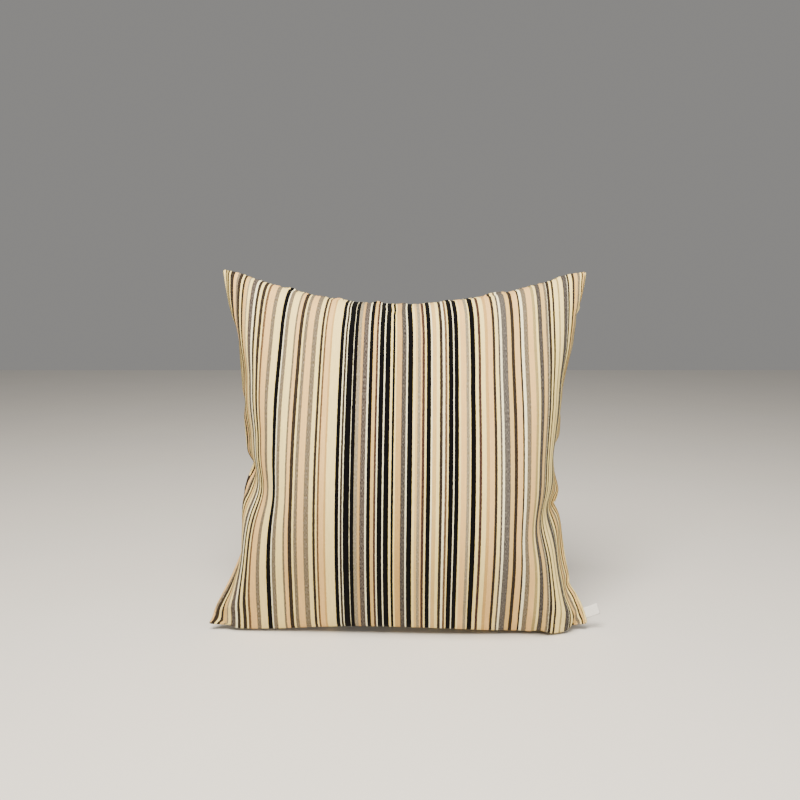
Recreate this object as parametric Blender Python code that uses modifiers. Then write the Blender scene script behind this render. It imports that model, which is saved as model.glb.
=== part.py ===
"""A square knife-edge throw pillow that stands on its bottom edge and slouches back a little.

Metres, +Z up, +X to the right of someone who faces the front, and the front faces -Y. The origin is on the
surface it stands on, under the middle of its box. Two panels make the cover and meet at a seam round all
four sides; the insert inside is a two-panel casing round a fibre filling. A concealed zip closes the middle
of the bottom seam: its slider runs along X and its pull tab hinges on the slider.

Every layer is made on one lattice of lines (u across, v up), so that the facets of nested layers stay
parallel and the same gap apart. Pieces are built upright round y = 0; place() then adds the slouch.
"""

import math

import bmesh
import bpy
from mathutils import Matrix

# Outline of the cover at its seam
TOP_HALF = 0.224          # top corner to the middle
LEFT_EAR = 0.228          # bottom corners to the middle
RIGHT_EAR = 0.216
HEIGHT = 0.438            # top corners above the surface it stands on
TOP_DIP = 0.040           # how far the middle of the top edge hangs below its corners
LEFT_PULL = 0.028         # how far the middle of each side is drawn in
RIGHT_PULL = 0.034
HALF_DEPTH = 0.086        # how far each face swells from the seam
SQUEEZE = 0.044           # height of pillow pressed flat against the surface, at mid width
SLOUCH = 0.050            # how far the top leans back
SLOUCH_FROM = 0.030       # height where the slouch begins

# Cloth
COVER_CLOTH = 0.0008
CASING_CLOTH = 0.0004
LAYER_GAP = 0.0003        # between pieces that touch
THREAD = 0.0005           # sewing thread's diameter
CASING_THREAD = 0.0004
CORNER_GAP = 0.0025       # from a corner to the end of a line of stitching
SEAM_GAP = 0.0013         # between the two panels' edges, for the thread and the slider's neck
CASING_SEAM_GAP = 0.0010

# Recess over the zip in the bottom edge
RECESS = 0.012            # height of its ceiling
RECESS_FLAT = 0.007       # half width of its ceiling
RECESS_MOUTH = 0.012      # half width at the lips
RECESS_FADE = 0.020       # length over which each end closes
RECESS_SPARE = 0.020      # from the zip's end to the start of that fade
INSERT_LIFT = 0.024       # height of the casing's bottom seam above the zip
FILLING_LIFT = 0.032

# Zip
ZIP_LENGTH = 0.330
TAPE_WIDTH = 0.007
TAPE_CLOTH = 0.0004
TOOTH_HEIGHT = 0.0012
TOOTH_REACH = 0.0008      # a tooth's length across the track
SPINE = 0.0008            # the row's solid back
TOOTH_PITCH = 0.005
STOP_LENGTH = 0.003
STITCH_OFFSET = 0.0042    # from the seam's plane to the line of stitching that holds each tape
SLIDER_LENGTH = 0.009
SLIDER_WALL = 0.0011
SLIDER_CLEARANCE = 0.0003
NECK_LENGTH = 0.0030
CROWN_LENGTH = 0.0066
CROWN_HALF_WIDTH = 0.0022
CROWN_DROP = 0.0026       # from the lower plate to the crown's underside
PULL_LENGTH = 0.0190
PULL_WIDTH = 0.0052       # at its round tip
PULL_SHOULDER = 0.0044    # its width at the hinge bar
PULL_TAPER = 10           # degrees by which the tip's arc stops short of a half turn each side
PULL_BAR = 0.0009         # side of the pull's hinge bar, and its thickness
PULL_WINDOW = 0.0046      # how far the window that clears the crown reaches from the hinge
CROWN_BAR_HALF = 0.0009   # half width of the crown's posts and bar
SLIDER_PARK = 0.003       # closed slider to the closed end's stops

# Labels
CARE_LABEL_WIDTH = 0.014
CARE_LABEL_LENGTH = 0.010
CARE_LABEL_CLOTH = 0.00025
CARE_LABEL_FOLD = 0.0002  # between its two leaves
CARE_LABEL_HEIGHT = 0.018 # its middle above the surface
INSERT_LABEL_WIDTH = 0.030
INSERT_LABEL_LENGTH = 0.005

# Facets
ROUND_STEPS = 8           # sides of a half-round end
SHARP_ANGLE = 40          # degrees; edges sharper than this stay crisp

# Lattice lines: the outermost is the cover's seam, the next the casing's, the next the filling's
SEAM_LINES = [1.0, 0.96, 0.90]
U_INNER = [0.80, 0.68, 0.53, 0.36, 0.18]
V_INNER = [-0.68, -0.50, -0.30, -0.10, 0.10, 0.30, 0.48, 0.65, 0.79]
V_BASE = [-1.0, -0.98, -0.93, -0.87, -0.80]

ACROSS = [-u for u in SEAM_LINES + U_INNER] + [0.0] + [u for u in reversed(SEAM_LINES + U_INNER)]
UP = V_BASE + V_INNER + list(reversed(SEAM_LINES))


def clear_scene():
    for old in list(bpy.data.objects):
        bpy.data.objects.remove(old)


def smooth_step(value, start, end):
    """0 at start, 1 at end, easing at both."""
    t = min(max((value - start) / (end - start), 0.0), 1.0)
    return t * t * (3 - 2 * t)


def loft(u, v):
    return (1 - abs(u) ** 3) * (1 - abs(v) ** 3)


def end_fade(x):
    """1 over the zip, falling to 0 past its ends."""
    start = ZIP_LENGTH / 2 + RECESS_SPARE
    return 1 - smooth_step(abs(x), start, start + RECESS_FADE)


def outline(u, v):
    """Where a lattice point lies in the seam's plane, before the base is pressed flat."""
    ear = LEFT_EAR if u < 0 else RIGHT_EAR
    pull = LEFT_PULL if u < 0 else RIGHT_PULL
    half = TOP_HALF + (ear - TOP_HALF) * (1 - v) / 2 - pull * (1 - v * v)
    low = -SQUEEZE * (1 - u * u)
    high = HEIGHT - TOP_DIP * (1 - u * u)
    return u * half, low + (high - low) * (v + 1) / 2


def skin(u, v):
    """A point of the cover's outer face: x, distance from the seam's plane, z."""
    x, z = outline(u, v)
    out = SEAM_GAP / 2 + COVER_CLOTH + HALF_DEPTH * loft(u, v)
    ceiling = RECESS * (1 - smooth_step(out, RECESS_FLAT, RECESS_MOUTH)) * end_fade(x)
    return x, out, max(z, ceiling, 0.0)


def centre_depth():
    """The middle of the box from front to back, with the slouch."""
    front = min(slouch(z) - out for x, out, z in (skin(u, v) for u in ACROSS for v in UP))
    back = max(slouch(z) + out for x, out, z in (skin(u, v) for u in ACROSS for v in UP))
    return (front + back) / 2


def slouch(z):
    return SLOUCH * (max(z - SLOUCH_FROM, 0.0) / (HEIGHT - SLOUCH_FROM)) ** 2


def place(x, y, z):
    return x, y + slouch(z) - CENTRE, z


CENTRE = centre_depth()


def material(name, colour, roughness, metallic=0.0):
    made = bpy.data.materials.new(name)
    made.use_nodes = True
    shader = made.node_tree.nodes["Principled BSDF"]
    shader.inputs["Base Color"].default_value = (*colour, 1.0)
    shader.inputs["Roughness"].default_value = roughness
    shader.inputs["Metallic"].default_value = metallic
    return made


def add_object(name, data, finish, parent=None):
    obj = bpy.data.objects.new(name, data)
    data.materials.append(finish)
    bpy.data.collections["throw_pillow"].objects.link(obj)
    obj.parent = parent
    return obj


def add_mesh(name, bm, finish, parent=None, smooth=True):
    mesh = bpy.data.meshes.new(name)
    bm.to_mesh(mesh)
    bm.free()
    if smooth:
        mesh.shade_smooth()
        mesh.set_sharp_from_angle(angle=math.radians(SHARP_ANGLE))
    return add_object(name, mesh, finish, parent)


def lattice_sheet(side, depth, trim, seam_out, lift):
    """One face of a layer as an open sheet, its outer face depth inside the cover's.

    side is -1 for the front and 1 for the back, trim how many lattice lines the layer stops short of the
    cover's seam, seam_out its seam edge's distance from the seam's plane, and lift that edge's height over
    the zip. Returns the bmesh, upright round y = 0.
    """
    bm = bmesh.new()
    bmesh.ops.create_grid(bm, x_segments=len(ACROSS) - 1, y_segments=len(UP) - 1, size=1.0)
    column = {}
    row = {}
    for vert in bm.verts:
        column[vert] = round((vert.co.x + 1) / 2 * (len(ACROSS) - 1))
        row[vert] = round((vert.co.y + 1) / 2 * (len(UP) - 1))
    for vert in bm.verts:
        x, out, z = skin(ACROSS[column[vert]], UP[row[vert]])
        vert.co = (x, side * out, z)
    if side > 0:
        bmesh.ops.reverse_faces(bm, faces=bm.faces)
    bm.normal_update()
    moved = {vert: vert.co - vert.normal * depth for vert in bm.verts}
    for vert in bm.verts:
        vert.co = moved[vert]
    # the base has a line on each side of the recess, so the layers inside skip one more there
    first = trim + 1 if trim else 0
    last_column = len(ACROSS) - 1 - trim
    last_row = len(UP) - 1 - trim
    outside = []
    for vert in bm.verts:
        if not (trim <= column[vert] <= last_column and first <= row[vert] <= last_row):
            outside.append(vert)
            continue
        if trim == 0:
            continue
        if column[vert] in (trim, last_column) or row[vert] in (first, last_row):
            x, z = outline(ACROSS[column[vert]], UP[row[vert]])
            if row[vert] == first:
                z = max(z, lift * end_fade(x))
            vert.co = (x, side * seam_out, z)
    bmesh.ops.delete(bm, geom=outside, context="VERTS")
    return bm


def lean_back(bm):
    for vert in bm.verts:
        vert.co = place(*vert.co)


def add_panel(name, side, depth, trim, seam_gap, lift, cloth, finish):
    """A panel of cloth: an open sheet thickened inwards."""
    bm = lattice_sheet(side, depth, trim, seam_gap / 2 + cloth, lift)
    lean_back(bm)
    panel = add_mesh(name, bm, finish)
    wall = panel.modifiers.new("cloth", "SOLIDIFY")
    wall.thickness = cloth
    wall.offset = -1.0
    return panel


def add_filling():
    """The fibre block: a front and a back sheet that meet all round."""
    depth = COVER_CLOTH + LAYER_GAP + CASING_CLOTH + LAYER_GAP
    bm = lattice_sheet(-1, depth, 2, 0.0, FILLING_LIFT)
    back = lattice_sheet(1, depth, 2, 0.0, FILLING_LIFT)
    half = bpy.data.meshes.new("filling_back")
    back.to_mesh(half)
    back.free()
    bm.from_mesh(half)
    bpy.data.meshes.remove(half)
    bmesh.ops.remove_doubles(bm, verts=bm.verts, dist=1e-6)
    lean_back(bm)
    return add_mesh("filling", bm, material("fibre", (0.86, 0.85, 0.82), 0.95))


def add_tube(name, points, diameter, finish, closed=False):
    """A thread along points given upright round y = 0."""
    curve = bpy.data.curves.new(name, "CURVE")
    curve.dimensions = "3D"
    curve.bevel_depth = diameter / 2
    curve.bevel_resolution = 1
    curve.use_fill_caps = not closed
    spline = curve.splines.new("POLY")
    spline.points.add(len(points) - 1)
    spline.use_cyclic_u = closed
    for point, (x, z) in zip(spline.points, points):
        point.co = (*place(x, 0.0, z), 1.0)
    return add_object(name, curve, finish)


def seam_run(corners, inset):
    """Points of the seam line through lattice points, drawn inset inside the edge, clear of the corners."""
    run = []
    for u, v in corners:
        x, out, z = skin(u, v)
        run.append((x - math.copysign(inset, x) * (abs(u) == 1.0), z - inset * (v == 1.0)))
    return run


def shortened(run, start, end):
    """The same run with each end cut back by a length measured along it."""
    def cut(points, length):
        while len(points) > 2 and math.dist(points[0], points[1]) <= length:
            length -= math.dist(points[0], points[1])
            points = points[1:]
        a, b = points[:2]
        t = length / math.dist(a, b)
        return [(a[0] + (b[0] - a[0]) * t, a[1] + (b[1] - a[1]) * t)] + points[1:]

    back = cut(cut(run, start)[::-1], end)
    return back[::-1]


def add_seam_threads():
    """The cover's seam: three closed sides, and the bottom outside the zip."""
    thread = material("sewing_thread", (0.10, 0.09, 0.08), 0.7)
    inset = COVER_CLOTH
    top = seam_run([(u, 1.0) for u in ACROSS], inset)
    add_tube("seam_thread_top", shortened(top, CORNER_GAP, CORNER_GAP), THREAD, thread)
    for name, u in (("left", -1.0), ("right", 1.0)):
        side = seam_run([(u, v) for v in UP], inset)
        add_tube(f"seam_thread_{name}", shortened(side, CORNER_GAP, CORNER_GAP), THREAD, thread)
        ends = [u * w for w in ACROSS if w >= 0 and outline(w, -1.0)[0] > ZIP_LENGTH / 2]
        bottom = [(x, z + inset) for x, z in seam_run([(w, -1.0) for w in ends], 0.0)]
        add_tube(f"seam_thread_bottom_{name}", shortened(bottom, 0.0, 2 * CORNER_GAP), THREAD, thread)


def add_casing_thread():
    inset = CASING_CLOTH
    edge = SEAM_LINES[1]
    first_row = 2
    rows = [v for v in UP[first_row:] if v <= edge]
    columns = [u for u in ACROSS if abs(u) <= edge]
    loop = [(u, rows[0]) for u in columns]
    loop += [(edge, v) for v in rows[1:]]
    loop += [(u, edge) for u in reversed(columns[:-1])]
    loop += [(-edge, v) for v in reversed(rows[1:-1])]
    points = []
    for u, v in loop:
        x, z = outline(u, v)
        if v == rows[0]:
            z = max(z, INSERT_LIFT * end_fade(x)) + inset
        if v == edge:
            z -= inset
        if abs(u) == edge:
            x -= math.copysign(inset, x)
        points.append((x, z))
    thread = material("casing_thread", (0.85, 0.85, 0.83), 0.7)
    return add_tube("insert_seam_thread", points, CASING_THREAD, thread, closed=True)


def add_outline_solid(name, points, thickness, finish, origin=(0, 0, 0), turn=(0, 0, 0), parent=None):
    """A flat outline in its own XY plane, thickened both ways along its Z."""
    curve = bpy.data.curves.new(name, "CURVE")
    curve.dimensions = "2D"
    curve.fill_mode = "BOTH"
    curve.extrude = thickness / 2
    spline = curve.splines.new("POLY")
    spline.points.add(len(points) - 1)
    spline.use_cyclic_u = True
    for point, (x, y) in zip(spline.points, points):
        point.co = (x, y, 0.0, 1.0)
    solid = add_object(name, curve, finish, parent)
    solid.location = origin
    solid.rotation_euler = turn
    return solid


def add_box(bm, low, high):
    """A box between two corners, added to the bmesh."""
    made = bmesh.ops.create_cube(bm, size=1.0)["verts"]
    bmesh.ops.scale(bm, verts=made, vec=[b - a for a, b in zip(low, high)])
    bmesh.ops.translate(bm, verts=made, vec=[(a + b) / 2 for a, b in zip(low, high)])


def zip_levels():
    """Heights of the zip's layers, each a gap above the one below."""
    tape_low = RECESS + COVER_CLOTH + LAYER_GAP
    tooth_low = tape_low + TAPE_CLOTH + LAYER_GAP
    plate_low = tooth_low + TOOTH_HEIGHT + LAYER_GAP
    return tape_low, tooth_low, plate_low


def add_tapes_and_teeth():
    """Each tape lies inside the cover along its panel's edge, with a row of teeth on it."""
    tape_low, tooth_low, _ = zip_levels()
    tape_cloth = material("zip_tape", (0.05, 0.05, 0.05), 0.9)
    tooth_plastic = material("zip_tooth", (0.07, 0.07, 0.07), 0.45)
    half = ZIP_LENGTH / 2
    row_half = half - STOP_LENGTH - LAYER_GAP - SLIDER_PARK
    inner = SEAM_GAP / 2
    root = inner + TOOTH_REACH
    teeth = int(2 * row_half / TOOTH_PITCH)
    start = -teeth * TOOTH_PITCH / 2
    for name, side in (("front", -1), ("back", 1)):
        bm = bmesh.new()
        near = min(side * inner, side * (inner + TAPE_WIDTH)) - CENTRE
        add_box(bm, (-half, near, tape_low), (half, near + TAPE_WIDTH, tape_low + TAPE_CLOTH))
        add_mesh(f"zip_tape_{name}", bm, tape_cloth, smooth=False)
        # the two rows are half a pitch out of step, as meshing teeth are
        shift = TOOTH_PITCH / 4 * side
        comb = [(start, side * (root + SPINE))]
        for tooth in range(teeth):
            x = start + (tooth + 0.5) * TOOTH_PITCH + shift
            low_x = max(x - TOOTH_PITCH / 4, start)
            high_x = min(x + TOOTH_PITCH / 4, -start)
            comb += [(low_x, side * root), (low_x, side * inner)]
            comb += [(high_x, side * inner), (high_x, side * root)]
        comb.append((-start, side * (root + SPINE)))
        middle = tooth_low + TOOTH_HEIGHT / 2
        add_outline_solid(f"zip_teeth_{name}", comb, TOOTH_HEIGHT, tooth_plastic, (0.0, -CENTRE, middle))


def add_stops():
    """A block at the open end that holds both rows, and one at the closed end of each row."""
    _, tooth_low, _ = zip_levels()
    metal = material("zip_stop", (0.55, 0.54, 0.52), 0.35, 1.0)
    half = ZIP_LENGTH / 2
    wide = SEAM_GAP / 2 + TOOTH_REACH + SPINE
    top = tooth_low + TOOTH_HEIGHT
    bm = bmesh.new()
    add_box(bm, (-half, -wide - CENTRE, tooth_low), (-half + STOP_LENGTH, wide - CENTRE, top))
    add_mesh("zip_bottom_stop", bm, metal, smooth=False)
    for name, side in (("front", -1), ("back", 1)):
        bm = bmesh.new()
        near, far = sorted((side * SEAM_GAP / 2, side * wide))
        add_box(bm, (half - STOP_LENGTH, near - CENTRE, tooth_low), (half, far - CENTRE, top))
        add_mesh(f"zip_top_stop_{name}", bm, metal, smooth=False)


def add_slider():
    """A channel over both rows, a neck through the seam and a crown below it that carries the pull."""
    _, tooth_low, plate_low = zip_levels()
    metal = material("zip_slider", (0.60, 0.58, 0.55), 0.3, 1.0)
    parked = ZIP_LENGTH / 2 - STOP_LENGTH - SLIDER_PARK - SLIDER_LENGTH / 2
    reach = SEAM_GAP / 2 + TOOTH_REACH + SPINE + SLIDER_CLEARANCE
    top = plate_low + SLIDER_WALL
    carrier = bpy.data.objects.new("slider_axis", None)
    bpy.data.collections["throw_pillow"].objects.link(carrier)
    carrier.location = (parked, -CENTRE, 0.0)
    # the channel's section, with a groove for the teeth, the neck, and the crown's flat plate
    neck = SEAM_GAP / 2 - SLIDER_CLEARANCE
    plate_top = RECESS - LAYER_GAP
    plate_under = plate_top - SLIDER_WALL
    wide = reach + SLIDER_WALL
    half = SLIDER_LENGTH / 2
    channel = bmesh.new()
    add_box(channel, (-half, -wide, plate_low), (half, wide, top))
    body = add_mesh("zip_slider", channel, metal, carrier, smooth=False)
    # overlaps of the joined blocks, so that each union has a volume to work on
    bite = SLIDER_WALL / 3
    shapes = []
    for side in (-1, 1):
        near, far = sorted((side * reach, side * wide))
        shapes.append(((-half, near, tooth_low), (half, far, plate_low + bite)))
    shapes.append(((-NECK_LENGTH / 2, -neck, plate_under + bite), (NECK_LENGTH / 2, neck, plate_low + bite)))
    crown = CROWN_LENGTH / 2
    shapes.append(((-crown, -CROWN_HALF_WIDTH, plate_under), (crown, CROWN_HALF_WIDTH, plate_top)))
    # the crown is a bridge under the plate: two posts and a bar
    eye = CROWN_DROP - SLIDER_WALL
    low = plate_under - CROWN_DROP
    bar = CROWN_BAR_HALF
    for side in (-1, 1):
        near, far = sorted((side * (crown - SLIDER_WALL), side * crown))
        shapes.append(((near, -bar, low), (far, bar, plate_under + bite)))
    shapes.append(((-crown, -bar, low), (crown, bar, plate_under - eye)))
    for number, (start, end) in enumerate(shapes):
        bm = bmesh.new()
        add_box(bm, start, end)
        block = add_cutter(f"slider_block_{number}", bm, carrier)
        union = body.modifiers.new(block.name, "BOOLEAN")
        union.operation = "UNION"
        union.object = block
    add_pull(carrier, plate_under - eye / 2)


def arc(centre_x, radius, start_deg, end_deg, steps):
    """Points of an arc about a point on the X axis."""
    turns = [math.radians(start_deg + (end_deg - start_deg) * i / steps) for i in range(steps + 1)]
    return [(centre_x + radius * math.cos(a), radius * math.sin(a)) for a in turns]


def add_pull(carrier, hinge_height):
    """A drop-shaped tab. Its hinge bar runs along Y through the crown's eye, and its tip lies towards -X."""
    hinge = bpy.data.objects.new("pull_axis", None)
    bpy.data.collections["throw_pillow"].objects.link(hinge)
    hinge.parent = carrier
    hinge.location = (0.0, 0.0, hinge_height)
    # its tip has dropped on to the surface below
    drop = math.asin((hinge_height - LAYER_GAP - PULL_BAR / 2) / PULL_LENGTH)
    hinge.rotation_euler = (0.0, -drop, 0.0)
    tip = PULL_WIDTH / 2
    shoulder = PULL_SHOULDER / 2
    outer = [(PULL_BAR / 2, -shoulder), (PULL_BAR / 2, shoulder), (-PULL_WINDOW, shoulder)]
    outer += arc(-PULL_LENGTH + tip, tip, 90 + PULL_TAPER, 270 - PULL_TAPER, ROUND_STEPS)
    outer.append((-PULL_WINDOW, -shoulder))
    slot = CROWN_BAR_HALF + SLIDER_CLEARANCE
    inner = [(-PULL_BAR / 2, slot), (-PULL_BAR / 2, -slot), (-PULL_WINDOW, -slot), (-PULL_WINDOW, slot)]
    metal = material("zip_pull", (0.60, 0.58, 0.55), 0.3, 1.0)
    pull = add_outline_solid("zip_pull", outer, PULL_BAR, metal, parent=hinge)
    window = pull.data.splines.new("POLY")
    window.points.add(len(inner) - 1)
    window.use_cyclic_u = True
    for point, (x, y) in zip(window.points, inner):
        point.co = (x, y, 0.0, 1.0)


def add_stitching():
    """The two straight lines of stitching that hold the tapes, each lying on its tape."""
    tape_low, _, _ = zip_levels()
    thread = material("zip_thread", (0.06, 0.06, 0.06), 0.7)
    half = ZIP_LENGTH / 2 - STOP_LENGTH
    for name, side in (("front", -1), ("back", 1)):
        height = tape_low + TAPE_CLOTH + LAYER_GAP + THREAD / 2
        line = add_tube(f"zip_stitching_{name}", [(-half, height), (half, height)], THREAD, thread)
        line.location.y = side * STITCH_OFFSET


def add_care_label():
    """A ribbon folded in two, whose ends are caught in the right side seam just above the corner."""
    below, above = UP[2], UP[3]
    (low_x, low_z), (high_x, high_z) = outline(1.0, below), outline(1.0, above)
    lean = math.atan2(low_x - high_x, high_z - low_z)
    share = (CARE_LABEL_HEIGHT - low_z) / (high_z - low_z)
    root_x = low_x + (high_x - low_x) * share - COVER_CLOTH + THREAD / 2 + LAYER_GAP
    gap = CARE_LABEL_FOLD / 2
    far = gap + CARE_LABEL_CLOTH
    bend = CARE_LABEL_LENGTH - far
    ribbon = [(0.0, gap), (0.0, far)]
    ribbon += arc(bend, far, 90, -90, ROUND_STEPS)
    ribbon += [(0.0, -far), (0.0, -gap)]
    ribbon += arc(bend, gap, -90, 90, ROUND_STEPS)
    satin = material("label_satin", (0.93, 0.93, 0.91), 0.45)
    add_outline_solid(
        "care_label", ribbon, CARE_LABEL_WIDTH, satin, (root_x, -CENTRE, CARE_LABEL_HEIGHT), (0.0, -lean, 0.0)
    )


def add_insert_label():
    """A single tag in the casing's left seam, half way up, square to the seam there."""
    below = max(v for v in UP if v < 0)
    above = min(v for v in UP if v > 0)
    (low_x, low_z), (high_x, high_z) = outline(-SEAM_LINES[1], below), outline(-SEAM_LINES[1], above)
    lean = math.atan2(high_x - low_x, high_z - low_z)
    middle = (low_z + high_z) / 2
    root = (low_x + high_x) / 2 + (CASING_CLOTH - CASING_THREAD / 2 - LAYER_GAP) / math.cos(lean)
    half = INSERT_LABEL_WIDTH / 2
    bm = bmesh.new()
    add_box(bm, (-INSERT_LABEL_LENGTH, -CARE_LABEL_CLOTH / 2, -half), (0.0, CARE_LABEL_CLOTH / 2, half))
    bmesh.ops.rotate(bm, verts=bm.verts, matrix=Matrix.Rotation(lean, 3, "Y"))
    bmesh.ops.translate(bm, verts=bm.verts, vec=(root, 0.0, middle))
    lean_back(bm)
    add_mesh("insert_label", bm, material("tag_paper", (0.90, 0.90, 0.88), 0.6), smooth=False)


def add_cutter(name, bm, parent):
    mesh = bpy.data.meshes.new(name)
    bm.to_mesh(mesh)
    bm.free()
    obj = bpy.data.objects.new(name, mesh)
    bpy.data.collections["cutters"].objects.link(obj)
    obj.parent = parent
    obj.hide_render = True
    obj.display_type = "WIRE"
    return obj


def make_part():
    clear_scene()
    for name in ("throw_pillow", "cutters"):
        bpy.context.scene.collection.children.link(bpy.data.collections.new(name))
    bpy.data.collections["cutters"].hide_render = True
    cloth = material("striped_cloth", (0.62, 0.55, 0.44), 0.9)
    cotton = material("casing_cotton", (0.88, 0.87, 0.84), 0.9)
    deep = COVER_CLOTH + LAYER_GAP
    for name, side in (("front", -1), ("back", 1)):
        add_panel(f"cover_{name}", side, 0.0, 0, SEAM_GAP, 0.0, COVER_CLOTH, cloth)
        add_panel(f"insert_casing_{name}", side, deep, 1, CASING_SEAM_GAP, INSERT_LIFT, CASING_CLOTH, cotton)
    add_filling()
    add_seam_threads()
    add_casing_thread()
    add_tapes_and_teeth()
    add_stitching()
    add_stops()
    add_slider()
    add_care_label()
    add_insert_label()


make_part()
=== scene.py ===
import math

import bmesh
import bpy
import numpy as np
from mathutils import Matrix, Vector, noise


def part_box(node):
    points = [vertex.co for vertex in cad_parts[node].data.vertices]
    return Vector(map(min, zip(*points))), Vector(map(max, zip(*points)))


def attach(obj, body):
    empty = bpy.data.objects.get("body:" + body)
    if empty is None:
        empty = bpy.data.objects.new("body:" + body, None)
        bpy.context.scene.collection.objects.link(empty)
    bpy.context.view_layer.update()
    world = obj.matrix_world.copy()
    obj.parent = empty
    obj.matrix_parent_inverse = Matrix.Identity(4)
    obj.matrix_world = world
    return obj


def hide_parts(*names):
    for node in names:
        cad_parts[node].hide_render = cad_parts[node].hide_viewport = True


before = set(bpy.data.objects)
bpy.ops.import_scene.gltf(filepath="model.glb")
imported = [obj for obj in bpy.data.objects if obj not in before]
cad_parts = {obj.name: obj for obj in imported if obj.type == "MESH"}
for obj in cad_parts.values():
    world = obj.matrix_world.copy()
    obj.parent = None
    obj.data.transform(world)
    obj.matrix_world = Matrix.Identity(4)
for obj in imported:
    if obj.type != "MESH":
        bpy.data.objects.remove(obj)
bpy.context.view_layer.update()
print("frame loaded:", len(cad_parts), "solids")

lipClearance = 0.0009                         # from the zip tapes down to the underside of the cloth beneath them
tapeLow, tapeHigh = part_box("zip_tape_front")
sliderLow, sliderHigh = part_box("zip_slider")
seamY = (sliderLow.y + sliderHigh.y) / 2      # the seam's plane at the foot of the pillow
ceiling = tapeLow.z - lipClearance
zipHalf = (tapeHigh.x - tapeLow.x) / 2


def addPiece(name, data, body="pillow", slot=None, replaced=()):
    piece = bpy.data.objects.new(name, data)
    bpy.context.scene.collection.objects.link(piece)
    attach(piece, body)
    if replaced:
        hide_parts(*replaced)
    return piece


def addMesh(name, bm, finishing, **where):
    mesh = bpy.data.meshes.new(name)
    bm.to_mesh(mesh)
    bm.free()
    mesh.shade_smooth()
    mesh.materials.append(finishing)
    return addPiece(name, mesh, **where)


def addThread(name, run, radius, finishing, cyclic=False, **where):
    # a thin round thread along a run of points, kept as a mesh
    curve = bpy.data.curves.new(name, "CURVE")
    curve.dimensions = "3D"
    curve.bevel_depth = radius
    curve.bevel_resolution = 1
    curve.use_fill_caps = not cyclic
    spline = curve.splines.new("POLY")
    spline.points.add(len(run) - 1)
    spline.points.foreach_set("co", [n for point in run for n in (*point, 1.0)])
    spline.use_cyclic_u = cyclic
    spline.use_smooth = True
    guide = bpy.data.objects.new(name + "Guide", curve)
    mesh = bpy.data.meshes.new_from_object(guide)
    bpy.data.objects.remove(guide)
    mesh.name = name
    mesh.materials.append(finishing)
    return addPiece(name, mesh, **where)


def addWall(piece, thickness, offset=-1.0):
    wall = piece.modifiers.new("wall", "SOLIDIFY")
    wall.thickness = thickness
    wall.offset = offset


def addRound(piece):
    rounder = piece.modifiers.new("round", "SUBSURF")
    rounder.levels = rounder.render_levels = 1


def feed(tree, node, values):
    # sockets are linked, plain values are set
    for key, value in values.items():
        if isinstance(value, bpy.types.NodeSocket):
            tree.links.new(value, node.inputs[key])
        else:
            node.inputs[key].default_value = value


def put(tree, kind, values=None, **settings):
    node = tree.nodes.new("ShaderNode" + kind)
    for key, value in settings.items():
        setattr(node, key, value)
    feed(tree, node, values or {})
    return node


def maths(tree, operation, a, b=0.0, clamp=False):
    return put(tree, "Math", {0: a, 1: b}, operation=operation, use_clamp=clamp).outputs[0]


def times(tree, a, b):
    return maths(tree, "MULTIPLY", a, b)


def plus(tree, a, b):
    return maths(tree, "ADD", a, b)


def minus(tree, a, b):
    return maths(tree, "SUBTRACT", a, b)


def remap(tree, value, low, high):
    return put(tree, "MapRange", {"Value": value, "From Min": low, "From Max": high}).outputs[0]


def speckle(tree, place, scale, detail, distortion=0.0, flat=False):
    values = {"Vector": place, "Scale": scale, "Detail": detail, "Distortion": distortion}
    return put(tree, "TexNoise", values, noise_dimensions="2D" if flat else "3D").outputs[0]


def mixColour(tree, amount, a, b, blend="MIX"):
    return put(tree, "Mix", {0: amount, 6: a, 7: b}, data_type="RGBA", blend_type=blend).outputs[2]


def startGroup(name, inputs, outputs):
    group = bpy.data.node_groups.new(name, "ShaderNodeTree")
    for direction, sockets in (("INPUT", inputs), ("OUTPUT", outputs)):
        for label, kind in sockets:
            group.interface.new_socket(label, in_out=direction, socket_type="NodeSocket" + kind)
    return group, group.nodes.new("NodeGroupInput").outputs, group.nodes.new("NodeGroupOutput").inputs


def useGroup(tree, group, values):
    node = tree.nodes.new("ShaderNodeGroup")
    node.node_tree = group
    feed(tree, node, values)
    return node.outputs


def newMaterial(name, roughness, sheen=0.0, specular=0.5, sheenTint=(1, 1, 1)):
    made = bpy.data.materials.new(name)
    made.use_nodes = True
    shader = made.node_tree.nodes["Principled BSDF"]
    shader.inputs["Roughness"].default_value = roughness
    shader.inputs["Specular IOR Level"].default_value = specular
    shader.inputs["Sheen Weight"].default_value = sheen
    shader.inputs["Sheen Roughness"].default_value = 0.5
    shader.inputs["Sheen Tint"].default_value = (*sheenTint, 1)
    return made, made.node_tree, shader


def paint(tree, shader, colour):
    tree.links.new(colour, shader.inputs["Base Color"])


def emboss(tree, shader, height, strength, distance):
    bump = put(tree, "Bump", {"Height": height, "Strength": strength, "Distance": distance})
    tree.links.new(bump.outputs[0], shader.inputs["Normal"])


def linear(red, green, blue):
    # screen colour, 0 to 255, to linear
    shares = [level / 255 for level in (red, green, blue)]
    return [s / 12.92 if s < 0.0404 else ((s + 0.055) / 1.055) ** 2.4 for s in shares]


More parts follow.
